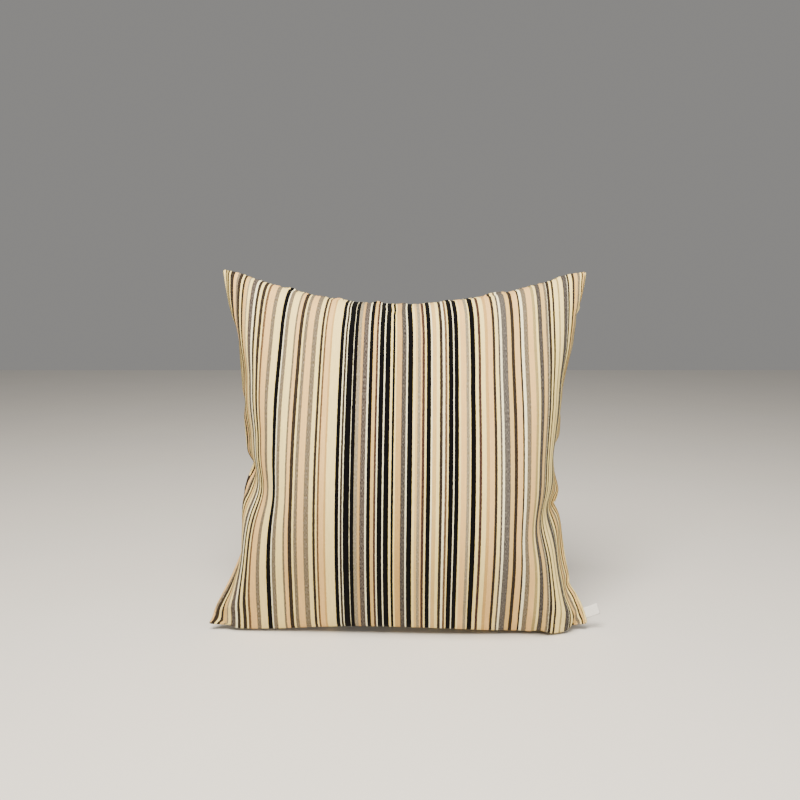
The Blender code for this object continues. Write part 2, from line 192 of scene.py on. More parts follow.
def buildWeave():
    # yarns side by side along x, picks across them along y: a height for the bump and for the painted shade in
    # the weave's pits, and a tint for each yarn
    group, given, out = startGroup(
        "ribWeave", [("Vector", "Vector"), ("Yarns", "Float"), ("Picks", "Float")],
        [("Height", "Float"), ("Tint", "Float")])
    wanderReach, plainShare, driftScale = 0.0005, 0.45, 55.0
    axes = put(group, "SeparateXYZ", {0: given["Vector"]}).outputs
    wander = minus(group, speckle(group, given["Vector"], 160.0, 2.0, flat=True), 0.5)
    yarn = times(group, plus(group, axes[0], times(group, wander, wanderReach)), given["Yarns"])
    pick = times(group, axes[1], given["Picks"])
    number = maths(group, "FLOOR", yarn)
    rib = maths(group, "ABSOLUTE", maths(group, "SINE", times(group, yarn, math.pi)))
    turn = times(group, plus(group, pick, number), math.pi)
    over = times(group, plus(group, maths(group, "SINE", turn), 1.0), 0.5)
    height = times(group, rib, plus(group, times(group, over, 1 - plainShare), plainShare))
    group.links.new(height, out["Height"])
    along = {0: times(group, number, 7.31), 1: times(group, axes[1], driftScale)}
    strand = put(group, "CombineXYZ", along).outputs[0]
    group.links.new(speckle(group, strand, 1.0, 1.0, flat=True), out["Tint"])
    return group


def buildWear():
    # where edges have rubbed bright, and a fine scatter of scuffs
    group, given, out = startGroup(
        "edgeWear", [("Vector", "Vector"), ("Amount", "Float"), ("Scale", "Float")],
        [("Mask", "Float"), ("Grain", "Float")])
    sharp = remap(group, put(group, "NewGeometry").outputs["Pointiness"], 0.505, 0.60)
    patch = speckle(group, given["Vector"], given["Scale"], 4.0)
    mask = maths(group, "MULTIPLY", times(group, sharp, patch), given["Amount"], clamp=True)
    group.links.new(mask, out["Mask"])
    group.links.new(speckle(group, given["Vector"], times(group, given["Scale"], 6.0), 3.0), out["Grain"])
    return group


weave = buildWeave()
wear = buildWear()

# each yarn's screen colour, and how heathered it is spun
yarns = {
    "black": (4, 3, 5, 0.0), "charcoal": (50, 46, 46, 0.4), "plum": (62, 52, 50, 0.5),
    "taupe": (112, 98, 74, 0.6), "slate": (74, 70, 68, 0.5), "grey": (146, 134, 106, 0.7),
    "brown": (96, 68, 42, 0.3), "dark": (38, 28, 20, 0.1), "red": (56, 28, 22, 0.2),
    "beige": (222, 184, 112, 0.2), "tan": (206, 164, 94, 0.25), "peach": (236, 192, 122, 0.15),
    "cream": (252, 228, 150, 0.1), "white": (255, 248, 206, 0.05), "olive": (172, 152, 92, 0.35),
}

# the warp from the left edge of a panel to the right: yarn, millimetres
warp = """cream 4.5, dark 1.5, olive 2.5, dark 1.5, cream 2, dark 5, peach 4, taupe 2.5, dark 4, cream 2.5,
    dark 3, beige 4, grey 2, cream 3.5, plum 5.5, white 2.5, dark 3.5, cream 3.5, dark 4, cream 2.5,
    brown 3, peach 7, taupe 5, cream 7.5, black 5, white 1, taupe 4.5, cream 7, taupe 2.5, peach 3.5,
    dark 4, cream 2, taupe 3.5, peach 6.5, taupe 5.5, cream 4, dark 3, cream 1.5, brown 2, peach 5,
    tan 2, cream 9.5, black 4, white 1, dark 2.5, white 1, black 6.5, white 0.5, black 4, grey 3.5,
    tan 2.5, plum 5.5, white 1.5, black 4, beige 3.5, red 2.5, white 1, black 5.5, white 1, black 6,
    cream 2, black 3, cream 1.5, tan 5.5, charcoal 5, white 1.5, black 6, cream 2.5, beige 2.5,
    grey 3.5, peach 1.5, red 3, cream 2, black 5, white 1.5, beige 4.5, cream 3.5, dark 3.5, white 2.5,
    brown 2.5, cream 1.5, black 5.5, white 1, black 5, cream 2.5, peach 6, grey 3.5, cream 1.5,
    black 6, cream 3.5, red 3, cream 5, tan 3.5, peach 5.5, dark 3.5, cream 3.5, plum 2.5, white 2,
    slate 7, beige 4.5, dark 4, peach 6.5, dark 2.5, white 3, taupe 5.5, peach 7, olive 3.5, cream 2.5,
    charcoal 5.5, beige 5, taupe 3, white 0.5, dark 3.5, cream 3, dark 2.5, cream 5.5, olive 2.5,
    cream 5, charcoal 6, white 0.5, dark 2.5, cream 4, dark 3, beige 4.5, taupe 3.5, cream 2, dark 2,
    beige 2.5, dark 1.5, cream 1.5"""

stripes = {
    "left": -0.2285,              # where the warp starts
    "perRamp": 30,                # a colour ramp holds 32 stops
    "yarnCount": 1900.0, "pickCount": 1100.0,
    "fuzzAcross": 2600.0, "fuzzAlong": 330.0,
    "ragged": 0.0006,             # how far a stripe's edge wanders
    "paleFleck": (0.62, 0.55, 0.45, 1), "paleShare": 0.55,
    "darkFleck": (0.12, 0.095, 0.075, 1), "darkShare": 0.45,
    "tintSpan": 0.30, "tintLow": 0.87,
    # painted shade in the weave's pits: the low parts of the weave are painted down to this share of the colour
    "pitShadeSpan": 0.30, "pitShadeLow": 0.80,
}


def readWarp(text, start):
    found, at = [], start
    for entry in text.split(","):
        yarn, width = entry.split()
        found.append((at, at + float(width) / 1000, yarn))
        at += float(width) / 1000
    return found


def warpRamp(tree, across, band):
    # one ramp with a sharp step at the start of each stripe; alpha carries the heathering
    start, width = band[0][0], band[-1][1] - band[0][0]
    ramp = put(tree, "ValToRGB", {0: remap(tree, across, start, start + width)})
    ramp.color_ramp.interpolation = "CONSTANT"
    for number, (low, _, yarn) in enumerate(band):
        place = (low - start) / width
        stop = ramp.color_ramp.elements[0] if number == 0 else ramp.color_ramp.elements.new(place)
        stop.position = place
        stop.color = (*linear(*yarns[yarn][:3]), yarns[yarn][3])
    ramp.color_ramp.elements.remove(ramp.color_ramp.elements[-1])
    return ramp.outputs["Color"], ramp.outputs["Alpha"], start


def stripedCloth():
    made, tree, shader = newMaterial("stripedCloth", 0.9, sheen=0.02, specular=0.08, sheenTint=(1, 0.95, 0.88))
    place = put(tree, "UVMap", uv_map="cloth").outputs[0]
    counts = {"Vector": place, "Yarns": stripes["yarnCount"], "Picks": stripes["pickCount"]}
    pattern = useGroup(tree, weave, counts)
    axes = put(tree, "SeparateXYZ", {0: place}).outputs
    strands = {0: times(tree, axes[0], stripes["fuzzAcross"]), 1: times(tree, axes[1], stripes["fuzzAlong"])}
    fuzz = speckle(tree, put(tree, "CombineXYZ", strands).outputs[0], 1.0, 2.0, flat=True)
    across = plus(tree, axes[0], times(tree, minus(tree, fuzz, 0.5), stripes["ragged"]))
    order = readWarp(warp, stripes["left"])
    colour, heather, _ = warpRamp(tree, across, order[:stripes["perRamp"]])
    for first in range(stripes["perRamp"], len(order), stripes["perRamp"]):
        nextColour, nextHeather, start = warpRamp(tree, across, order[first:first + stripes["perRamp"]])
        past = maths(tree, "GREATER_THAN", across, start)
        colour = mixColour(tree, past, colour, nextColour)
        heather = put(tree, "Mix", {0: past, 2: heather, 3: nextHeather}, data_type="FLOAT").outputs[0]
    # spun yarn: streaks of paler and darker fibre in the heathered ones, a slower drift in all
    streaks = remap(tree, fuzz, 0.42, 0.68)
    pale = times(tree, streaks, times(tree, heather, stripes["paleShare"]))
    dusk = times(tree, minus(tree, 1.0, streaks), times(tree, heather, stripes["darkShare"]))
    flecked = mixColour(tree, pale, colour, stripes["paleFleck"])
    flecked = mixColour(tree, dusk, flecked, stripes["darkFleck"], "MULTIPLY")
    level = plus(tree, times(tree, pattern["Tint"], stripes["tintSpan"]), stripes["tintLow"])
    # painted shade: the colour is darkened where the weave is low, in the pits between the yarns
    paintedPitShade = plus(tree, times(tree, pattern["Height"], stripes["pitShadeSpan"]), stripes["pitShadeLow"])
    # each yarn's own tone times the painted pit shade, as a grey that multiplies the colour
    yarnToneAndPitShade = times(tree, level, paintedPitShade)
    greyToneAndPitShade = put(tree, "CombineColor", {0: yarnToneAndPitShade, 1: yarnToneAndPitShade, 2: yarnToneAndPitShade}).outputs[0]
    paint(tree, shader, mixColour(tree, 1.0, flecked, greyToneAndPitShade, "MULTIPLY"))
    emboss(tree, shader, plus(tree, pattern["Height"], times(tree, fuzz, 0.5)), 0.55, 0.00025)
    return made


def wovenCloth(name, colour, other, yarnCount, pickCount, bumpDistance=0.0002):
    made, tree, shader = newMaterial(name, 0.9, sheen=0.15, specular=0.3)
    place = put(tree, "UVMap", uv_map="cloth").outputs[0]
    pattern = useGroup(tree, weave, {"Vector": place, "Yarns": yarnCount, "Picks": pickCount})
    blotch = speckle(tree, place, 45.0, 3.0, flat=True)
    amount = plus(tree, times(tree, pattern["Tint"], 0.7), times(tree, blotch, 0.3))
    paint(tree, shader, mixColour(tree, amount, other, colour))
    emboss(tree, shader, pattern["Height"], 0.6, bumpDistance)
    return made


def spunThread(name, colour, other):
    # plies that wind round the thread
    made, tree, shader = newMaterial(name, 0.6, sheen=0.3, specular=0.4)
    spot = put(tree, "TexCoord").outputs["Object"]
    twist = {"Vector": spot, "Scale": 900.0, "Distortion": 0.4, "Detail": 1.0}
    ply = put(tree, "TexWave", twist, wave_type="BANDS", bands_direction="DIAGONAL").outputs[1]
    fluff = speckle(tree, spot, 4200.0, 2.0)
    mixed = plus(tree, times(tree, ply, 0.6), times(tree, fluff, 0.4))
    paint(tree, shader, mixColour(tree, mixed, other, colour))
    emboss(tree, shader, mixed, 0.5, 0.0001)
    return made


def satinRibbon():
    made, tree, shader = newMaterial("satinRibbon", 0.42, sheen=0.1)
    selvedgeFrom = 0.0062         # from the ribbon's middle line
    place = put(tree, "UVMap", uv_map="cloth").outputs[0]
    pattern = useGroup(tree, weave, {"Vector": place, "Yarns": 3600.0, "Picks": 900.0})
    fromMiddle = maths(tree, "ABSOLUTE", put(tree, "SeparateXYZ", {0: place}).outputs[0])
    selvedge = maths(tree, "GREATER_THAN", fromMiddle, selvedgeFrom)
    face = mixColour(tree, pattern["Tint"], (0.78, 0.77, 0.73, 1), (0.90, 0.89, 0.86, 1))
    paint(tree, shader, mixColour(tree, selvedge, face, (0.70, 0.69, 0.65, 1)))
    emboss(tree, shader, pattern["Height"], 0.35, 0.0001)
    return made


def paintedMetal():
    # black enamel, rubbed to bare metal at the edges
    made, tree, shader = newMaterial("zipMetal", 0.38)
    spot = put(tree, "TexCoord").outputs["Object"]
    worn = useGroup(tree, wear, {"Vector": spot, "Amount": 1.6, "Scale": 900.0})
    enamel = mixColour(tree, worn["Grain"], (0.030, 0.029, 0.028, 1), (0.055, 0.053, 0.050, 1))
    paint(tree, shader, mixColour(tree, worn["Mask"], enamel, (0.42, 0.40, 0.37, 1)))
    tree.links.new(worn["Mask"], shader.inputs["Metallic"])
    tree.links.new(plus(tree, times(tree, worn["Grain"], 0.3), 0.25), shader.inputs["Roughness"])
    emboss(tree, shader, worn["Grain"], 0.25, 0.00005)
    return made


def nylonCoil():
    made, tree, shader = newMaterial("nylonCoil", 0.35)
    grain = speckle(tree, put(tree, "TexCoord").outputs["Object"], 2500.0, 3.0)
    paint(tree, shader, mixColour(tree, grain, (0.018, 0.018, 0.018, 1), (0.06, 0.058, 0.055, 1)))
    tree.links.new(plus(tree, times(tree, grain, 0.25), 0.25), shader.inputs["Roughness"])
    emboss(tree, shader, grain, 0.2, 0.00004)
    return made


def looseFibre():
    made, tree, shader = newMaterial("looseFibre", 0.95, sheen=0.5, specular=0.2)
    spot = put(tree, "TexCoord").outputs["Object"]
    clump = speckle(tree, spot, 38.0, 6.0, distortion=1.5)
    strand = speckle(tree, spot, 420.0, 5.0, distortion=3.0)
    both = plus(tree, times(tree, clump, 0.5), times(tree, strand, 0.5))
    paint(tree, shader, mixColour(tree, both, (0.66, 0.65, 0.62, 1), (0.93, 0.92, 0.89, 1)))
    emboss(tree, shader, both, 0.8, 0.0025)
    return made


finish = {
    "stripes": stripedCloth(),
    "thread": spunThread("sewingThread", (0.13, 0.11, 0.10, 1), (0.05, 0.045, 0.04, 1)),
    "zipThread": spunThread("zipThread", (0.09, 0.085, 0.08, 1), (0.035, 0.033, 0.03, 1)),
    "casingThread": spunThread("casingThread", (0.86, 0.85, 0.82, 1), (0.70, 0.69, 0.66, 1)),
    "tape": wovenCloth("zipTape", (0.055, 0.053, 0.05, 1), (0.022, 0.021, 0.02, 1), 1800.0, 1500.0, 0.00012),
    "casing": wovenCloth("casingCotton", (0.86, 0.84, 0.79, 1), (0.70, 0.68, 0.62, 1), 2200.0, 1500.0),
    "ribbon": satinRibbon(),
    "metal": paintedMetal(),
    "coil": nylonCoil(),
    "fibre": looseFibre(),
}
print("finishes ready:", len(finish))


# the cover: two flat panels sewn together, filled, and stood on their bottom edge; u and v run from -1 to 1
cover = {
    "cut": 0.457,                 # each panel between its seams
    "cells": 64,
    "cloth": 0.0008,
    "height": 0.438, "topDip": 0.046,
    # half widths at the top, the foot and the bottom corners, and how far the sides draw in between
    "leftTop": 0.219, "leftFoot": 0.212, "leftEar": 0.238, "leftPull": 0.026,
    "rightTop": 0.224, "rightFoot": 0.208, "rightEar": 0.224, "rightPull": 0.031,
    "earSpread": 0.16,
    "halfDepth": 0.086, "hang": 0.004,
    # where the sides are nipped in: side, height, depth, width
    "nips": [(-1, -0.137, 0.0045, 0.020), (-1, -0.49, 0.005, 0.022), (1, 0.72, 0.005, 0.020),
             (1, -0.18, 0.003, 0.022), (1, -0.74, 0.005, 0.026)],
    "seamGap": 0.0013,            # between the two panels' edges
    "roll": 0.0009, "allowance": 0.0032,      # the edge's roll, and all that is turned in at the seam
    "slouch": 0.050, "slouchFrom": 0.030,
    "mouthSpare": 0.004,          # the mouth runs this far past the zip
    "offGrain": 0.021,            # how far the stripes have drifted at the foot of the left side
}
half = cover["cut"] / 2

# the cloth simulation
fillingForce = {
    "frames": 45, "standBy": 15,
    "floorFrom": 15, "floorBy": 32, "floorLow": -0.045, "floorHigh": -0.002,
    "pressure": 10.0, "weight": 2.0, "gravity": 0.6,
    "flatGap": 0.0015, "flatDrop": 0.012,
    "zipRows": 0.0080, "zipSpare": 0.003,     # the cloth that lies flat under the tapes
    "cornerReach": 0.10, "topHold": 0.6, "sideHold": 0.2, "lowerSideHold": 0.4,
}

# what the filling and the zip do to the shape once it stands
settling = {
    "passes": 14, "strength": 0.7,
    "lipRest": 0.0006, "lipArch": 0.006, "archHalf": 0.150,
    "fadeTop": 0.075, "fadeSpan": 0.065, "earShare": 0.12,
}


def standingPoint(u, v):
    # roughly where the filled cover's points end up, for the seams to be drawn towards
    hand = "left" if u < 0 else "right"
    top, foot, ear, pull = (cover[hand + part] for part in ("Top", "Foot", "Ear", "Pull"))
    if v > 0:
        wide = top - pull * (1 - v * v) - (top - foot) * (1 - v) ** 2 / 2
    else:
        middle = (top + foot) / 2 - pull
        wide = middle + (foot - middle) * v * v + (ear - foot) * math.exp(-((1 + v) / cover["earSpread"]) ** 2)
    low = ceiling - cover["hang"] * u * u
    high = cover["height"] - cover["topDip"] * (1 - u * u)
    x, z = u * wide, low + (high - low) * (v + 1) / 2
    for side, at, depth, width in cover["nips"]:
        if side * u > 0:
            x -= side * depth * math.exp(-((v - at) / (2 * width / cover["height"])) ** 2) * abs(u) ** 10
    return x, cover["halfDepth"] * (1 - abs(u) ** 3) * (1 - abs(v) ** 3), z


def nearZip(u, v):
    return abs(u) * half < zipHalf + fillingForce["zipSpare"] and (v + 1) * half < fillingForce["zipRows"]


def holdWeight(u, v):
    # how firmly a point is drawn to its place: fully at the zip and the bottom corners, loosely at the seams
    if nearZip(u, v):
        return 1.0
    if v < 0:
        corner = math.hypot(1 - abs(u), 1 + v)
        if corner < fillingForce["cornerReach"]:
            return 1.0 - 4.0 * corner
    if max(abs(u), abs(v)) < 0.999:
        return 0.0
    if v > 0.999 or (abs(u) > 0.93 and v > 0.93):
        return fillingForce["topHold"]
    if v < -0.999:
        return 0.0
    more = fillingForce["lowerSideHold"] - fillingForce["sideHold"]
    return fillingForce["sideHold"] + more * min(max(-v * 2.5, 0), 1)


def fillShare(u, v):
    # the filling presses least near the seams, so the edge stays a knife edge
    a, b = abs(u), abs(v)
    edge = 0.15 - 0.09 * b if v > 0 else 0.15 + 0.35 * b * (1 - a ** 4)
    middle = (1 - a * a) * (1 - b * b if v > 0 else 1 - b ** 6)
    return min(1.0, edge + (1 - edge) * middle)


def sewPanels():
    bm = bmesh.new()
    flat = bm.verts.layers.float_vector.new("flat")
    cells = cover["cells"]
    for side in (-1, 1):
        made = bmesh.ops.create_grid(bm, x_segments=cells, y_segments=cells, size=1.0)["verts"]
        if side > 0:
            bmesh.ops.reverse_faces(bm, faces=list({face for vert in made for face in vert.link_faces}))
        for vert in made:
            u, v = vert.co.x, vert.co.y
            vert[flat] = Vector((u, side, v))
            x, out, z = standingPoint(u, v)
            vert.co = (x, side * out, z)
    bmesh.ops.remove_doubles(bm, verts=[vert for vert in bm.verts if vert.is_boundary], dist=1e-5)
    return bm, flat


def risingFloor():
    mesh = bpy.data.meshes.new("pressFloor")
    plane = bmesh.new()
    bmesh.ops.create_grid(plane, x_segments=1, y_segments=1, size=1.0)
    plane.to_mesh(mesh)
    plane.free()
    floor = bpy.data.objects.new("pressFloor", mesh)
    bpy.context.scene.collection.objects.link(floor)
    floor.modifiers.new("stop", "COLLISION")
    floor.collision.thickness_outer = 0.0
    floor.collision.cloth_friction = 20
    for height, at in (("floorLow", "floorFrom"), ("floorHigh", "floorBy")):
        floor.location.z = fillingForce[height]
        floor.keyframe_insert("location", index=2, frame=fillingForce[at])
    return floor


def addClothForces(sewn):
    cloth = sewn.modifiers.new("cloth", "CLOTH")
    spec = cloth.settings
    spec.quality, spec.mass, spec.air_damping = 6, 0.001, 2.0
    spec.tension_stiffness, spec.compression_stiffness = 40, 10
    spec.shear_stiffness, spec.bending_stiffness = 8, 0.1
    spec.tension_damping = spec.compression_damping = spec.shear_damping = 10
    spec.bending_damping = 0.5
    spec.use_pressure, spec.uniform_pressure_force = True, fillingForce["pressure"]
    spec.vertex_group_mass, spec.vertex_group_pressure = "hold", "fill"
    spec.pin_stiffness = 1.0
    spec.fluid_density = fillingForce["weight"]
    spec.effector_weights.gravity = fillingForce["gravity"]
    cloth.collision_settings.distance_min = 0.002
    cloth.collision_settings.use_self_collision = False
    cloth.point_cache.frame_start, cloth.point_cache.frame_end = 1, fillingForce["frames"]


def fillCover():
    # starts flat, is drawn to its standing seams while it fills, and then meets the floor
    bm, flat = sewPanels()
    places = [vert[flat].copy() for vert in bm.verts]
    standing = np.array([vert.co for vert in bm.verts], np.float32)
    mesh = bpy.data.meshes.new("sewnCover")
    bm.to_mesh(mesh)
    bm.free()
    lying = []
    for number, (u, side, v) in enumerate(places):
        if nearZip(u, v):
            standing[number] = (u * half, side * (v + 1) * half, ceiling)
        apart = fillingForce["flatGap"] * (1 - max(abs(u), abs(v)) ** 20)
        lying.append((u * half, side * apart, v * half + half - fillingForce["flatDrop"]))
    mesh.vertices.foreach_set("co", np.array(lying, np.float32).ravel())
    sewn = bpy.data.objects.new("sewnCover", mesh)
    bpy.context.scene.collection.objects.link(sewn)
    sewn.shape_key_add(name="flat")
    stand = sewn.shape_key_add(name="standing")
    stand.data.foreach_set("co", standing.ravel())
    hold = sewn.vertex_groups.new(name="hold")
    fill = sewn.vertex_groups.new(name="fill")
    for number, (u, _, v) in enumerate(places):
        weight = holdWeight(u, v)
        if weight:
            hold.add([number], weight, "REPLACE")
        fill.add([number], fillShare(u, v), "REPLACE")
    addClothForces(sewn)
    floor = risingFloor()
    for value, at in ((0.0, 1), (1.0, fillingForce["standBy"])):
        stand.value = value
        stand.keyframe_insert("value", frame=at)
    points = standing.astype(float)
    for step in range(1, fillingForce["frames"] + 1):
        bpy.context.scene.frame_set(step)
    filled = np.empty(len(mesh.vertices) * 3, np.float32)
    sewn.evaluated_get(bpy.context.evaluated_depsgraph_get()).data.vertices.foreach_get("co", filled)
    points = filled.reshape(-1, 3).astype(float)
    bpy.context.scene.frame_set(1)
    bpy.data.objects.remove(sewn)
    bpy.data.objects.remove(floor)
    return places, points


def gridded(places, points):
    # the panels as two square tables of points, which share their border
    size = cover["cells"] + 1
    tables = {-1: np.full((size, size, 3), np.nan), 1: np.full((size, size, 3), np.nan)}
    for (u, side, v), point in zip(places, points):
        i, j = round((u + 1) * cover["cells"] / 2), round((v + 1) * cover["cells"] / 2)
        edge = i in (0, size - 1) or j in (0, size - 1)
        for one in ((-1, 1) if edge else (round(side),)):
            tables[one][i, j] = point
    return tables


def easeCreases(tables):
    # the filling creeps out towards the sides: long creases there are filled, the tucks at the seam stay
    spread = np.linspace(-1, 1, cover["cells"] + 1)
    u, v = np.meshgrid(spread, spread, indexing="ij")
    share = np.clip((0.97 - np.abs(u)) / 0.10, 0, 1) * np.clip((np.abs(u) - 0.30) / 0.20, 0, 1)
    share *= np.clip((v + 0.80) / 0.15, 0, 1) * np.clip((0.97 - v) / 0.10, 0, 1)
    share = share[1:-1, 1:-1, None]
    for table in tables.values():
        for _ in range(settling["passes"]):
            around = (table[2:, 1:-1] + table[:-2, 1:-1] + table[1:-1, 2:] + table[1:-1, :-2]) / 4
            table[1:-1, 1:-1] += (around - table[1:-1, 1:-1]) * share * settling["strength"]


def lowerLips(tables):
    # beside the zip the lips come down on the base, but for a low arch at the middle
    size = cover["cells"] + 1
    ear = np.clip((1 - np.abs(np.linspace(-1, 1, size))) / settling["earShare"], 0, 1)
    for table in tables.values():
        depth = np.array([table[i, 2:10, 2].min() for i in range(size)])
        depth = np.convolve(np.pad(depth, 3, mode="edge"), np.ones(7) / 7, "valid")
        arch = np.maximum(1 - (table[:, 3, 0] / settling["archHalf"]) ** 2, 0)
        wanted = settling["lipRest"] + settling["lipArch"] * arch
        drop = (np.maximum(depth - wanted, 0) * ear)[:, None]
        fade = np.clip((settling["fadeTop"] - table[:, 2:, 2]) / settling["fadeSpan"], 0, 1)
        table[:, 2:, 2] -= drop * fade * fade * (3 - 2 * fade)


def settle(tables):
    # nothing below the floor, the faces a cloth apart, and the top leaning back
    easeCreases(tables)
    lowerLips(tables)
    for table in tables.values():
        table[..., 2] = np.maximum(table[..., 2], 0.0)
    gap = tables[1][..., 1] - tables[-1][..., 1]
    short = np.maximum(2 * cover["cloth"] + cover["seamGap"] - gap, 0) / 2
    short[0, :] = short[-1, :] = short[:, 0] = short[:, -1] = 0
    for side, table in tables.items():
        table[..., 1] += side * short
        above = np.maximum(table[..., 2] - cover["slouchFrom"], 0) / (cover["height"] - cover["slouchFrom"])
        table[..., 1] += seamY + cover["slouch"] * above ** 2
    return tables


shape = settle(gridded(*fillCover()))
low = np.min([table.min((0, 1)) for table in shape.values()], 0)
high = np.max([table.max((0, 1)) for table in shape.values()], 0)
print("cover filled, millimetres:", (low * 1000).round(1), (high * 1000).round(1))


def unit(vectors):
    return vectors / np.maximum(np.linalg.norm(vectors, axis=-1, keepdims=True), 1e-9)


def borderWays(tables):
    # for each border point: which way the front lies from the back, and which way is into the pillow
    last = cover["cells"]
    ways = {}
    for i in range(last + 1):
        for j in range(last + 1):
            if not (i in (0, last) or j in (0, last)):
                continue
            inner = min(max(i, 1), last - 1), min(max(j, 1), last - 1)
            front, back = (tables[side][inner] - tables[side][i, j] for side in (-1, 1))
            apart = unit(unit(front) - unit(back) + np.array((0, -0.4, 0)))
            inward = unit(unit(front) + unit(back) + np.array((0, 0, 0.15 if j == 0 else 0)))
            ways[i, j] = Vector(apart), Vector(inward - apart * float(inward @ apart)).normalized()
    return ways


borders = borderWays(shape)


def offGrain(u, v):
    # the left of a panel is cut a little off the straight grain, so its stripes drift outwards going down
    return cover["offGrain"] * (1 - v) / 2 * min(max((0.1 - u) / 0.82, 0), 1) ** 1.3


def addCoverPanel(name, side, node):
    cells = cover["cells"]
    bm = bmesh.new()
    uvs = bm.loops.layers.uv.new("cloth")
    inwards = bm.verts.layers.float_vector.new("inwards")
    bmesh.ops.create_grid(bm, x_segments=cells, y_segments=cells, size=1.0)
    if side > 0:
        bmesh.ops.reverse_faces(bm, faces=bm.faces[:])
    for vert in bm.verts:
        u, v = vert.co.x, vert.co.y
        i, j = round((u + 1) * cells / 2), round((v + 1) * cells / 2)
        for loop in vert.link_loops:
            loop[uvs].uv = (u * half + offGrain(u, v), v * half)
        vert.co = shape[side][i, j]
        if (i, j) in borders:
            apart, inward = borders[i, j]
            vert.co -= apart * side * cover["seamGap"] / 2
            vert[inwards] = inward
            if j == 0 and abs(vert.co.x) < zipHalf + cover["mouthSpare"]:
                vert.co.y = seamY + side * cover["seamGap"] / 2
                vert.co.z = ceiling
                vert[inwards] = (0, 0, 0)
    # the seam allowance, turned in all round but for the mouth that the zip closes
    for length in (cover["roll"], cover["allowance"] - cover["roll"]):
        rim = [edge for edge in bm.edges
               if edge.is_boundary and all(vert[inwards].length > 0.5 for vert in edge.verts)]
        turned = bmesh.ops.extrude_edge_only(bm, edges=rim)["geom"]
        for vert in (element for element in turned if isinstance(element, bmesh.types.BMVert)):
            vert.co += vert[inwards] * length
    panel = addMesh(name, bm, finish["stripes"], slot="striped_cloth", replaced=(node,))
    addRound(panel)
    addWall(panel, cover["cloth"])


addCoverPanel("striped_cover_front", -1, "cover_front")
addCoverPanel("striped_cover_back", 1, "cover_back")
print("cover panels sewn")

seamStitch = {"pitch": 0.0030, "radius": 0.00022, "depth": 0.0013, "reach": 0.00042}


def spaced(points, pitch, others=()):
    # the same line at even steps along its length
    lengths = np.concatenate([[0], np.cumsum(np.linalg.norm(np.diff(points, axis=0), axis=1))])
    wanted = np.linspace(0, lengths[-1], max(2, round(lengths[-1] / pitch) + 1))
    return [np.stack([np.interp(wanted, lengths, one[:, axis]) for axis in range(3)], 1)
            for one in (points, *others)]


def everyOther(points, reach):
    # out one way and back the other, point by point
    return np.where(np.arange(len(points)) % 2, 1, -1)[:, None] * reach


def addSeamStitches(name, steps, node):
    # a zigzag just inside the seam, from the second border point to the last but one
    steps = steps[1:-1]
    points = np.array([shape[-1][step] for step in steps])
    apart, inward = (np.array([borders[step][part] for step in steps]) for part in (0, 1))
    points, apart, inward = spaced(points, seamStitch["pitch"] / 2, (apart, inward))
    line = points + unit(inward) * seamStitch["depth"] + unit(apart) * everyOther(points, seamStitch["reach"])
    addThread(name, line, seamStitch["radius"], finish["thread"], slot="sewing_thread", replaced=(node,))


last = cover["cells"]
mouth = [i for i in range(last + 1) if abs(shape[-1][i, 0][0]) < zipHalf + cover["mouthSpare"]]
seams = {
    "top": [(i, last) for i in range(last + 1)],
    "left": [(0, j) for j in range(last + 1)],
    "right": [(last, j) for j in range(last + 1)],
    "bottom_left": [(i, 0) for i in range(mouth[0] + 1)],
    "bottom_right": [(i, 0) for i in range(mouth[-1], last + 1)],
}
for seam, steps in seams.items():
    addSeamStitches("seam_stitches_" + seam, steps, "seam_thread_" + seam)
print("seams stitched")

careLabel = {"width": 0.014, "length": 0.0170, "tuck": 0.0022, "leaf": 0.00035, "cloth": 0.0002,
             "height": 0.022, "curl": 0.0012}


def addLoopLabel(name, spec, root, along, outward, apart, node):
    # a ribbon folded in two, its cut ends sewn into the seam
    bm = bmesh.new()
    uvs = bm.loops.layers.uv.new("cloth")
    bmesh.ops.create_grid(bm, x_segments=10, y_segments=36, size=1.0)
    reach = spec["length"] + spec["tuck"]
    for vert in bm.verts:
        s, t = vert.co.x * spec["width"] / 2, vert.co.y          # t runs down one leaf and back up the other
        for loop in vert.link_loops:
            loop[uvs].uv = (s, t * reach)
        depth = (1 - abs(t)) * reach - spec["tuck"]
        fold = 1 - min(abs(t) * 14, 1)
        leaf = spec["leaf"] * math.copysign(min(1.0, math.sqrt(max(1 - fold ** 2, 0))), t)
        bend = spec["curl"] * max(depth / spec["length"], 0) ** 2 * (1 + 0.6 * s / spec["width"])
        vert.co = root + along * s + outward * depth + apart * (leaf + bend)
    label = addMesh(name, bm, finish["ribbon"], slot="label_satin", replaced=(node,))
    addWall(label, spec["cloth"], offset=0.0)


rightEdge = shape[-1][last]
step = int(np.argmin(np.abs(rightEdge[2:last // 2, 2] - careLabel["height"]))) + 2
labelInward = borders[last, step][1]
labelAlong = Vector(rightEdge[step + 1] - rightEdge[step - 1]).normalized()
labelOut = -(labelInward - labelAlong * labelInward.dot(labelAlong)).normalized()
addLoopLabel("care_label_ribbon", careLabel, Vector(rightEdge[step]), labelAlong, labelOut,
             labelAlong.cross(labelOut), "care_label")

zipper = {
    "selvedge": 0.00012,          # the tape's edges stand this much proud
    "leastWidth": 0.010,          # the narrowest that a sheet may be
    "coilPitch": 0.0015, "coilSteps": 10, "wire": 0.00021,
    "stitch": 0.0030, "stitchRadius": 0.00017, "stitchLine": 0.0042, "endSpare": 0.002,
    "stopEdge": 0.00018, "sliderEdge": 0.00016,
}


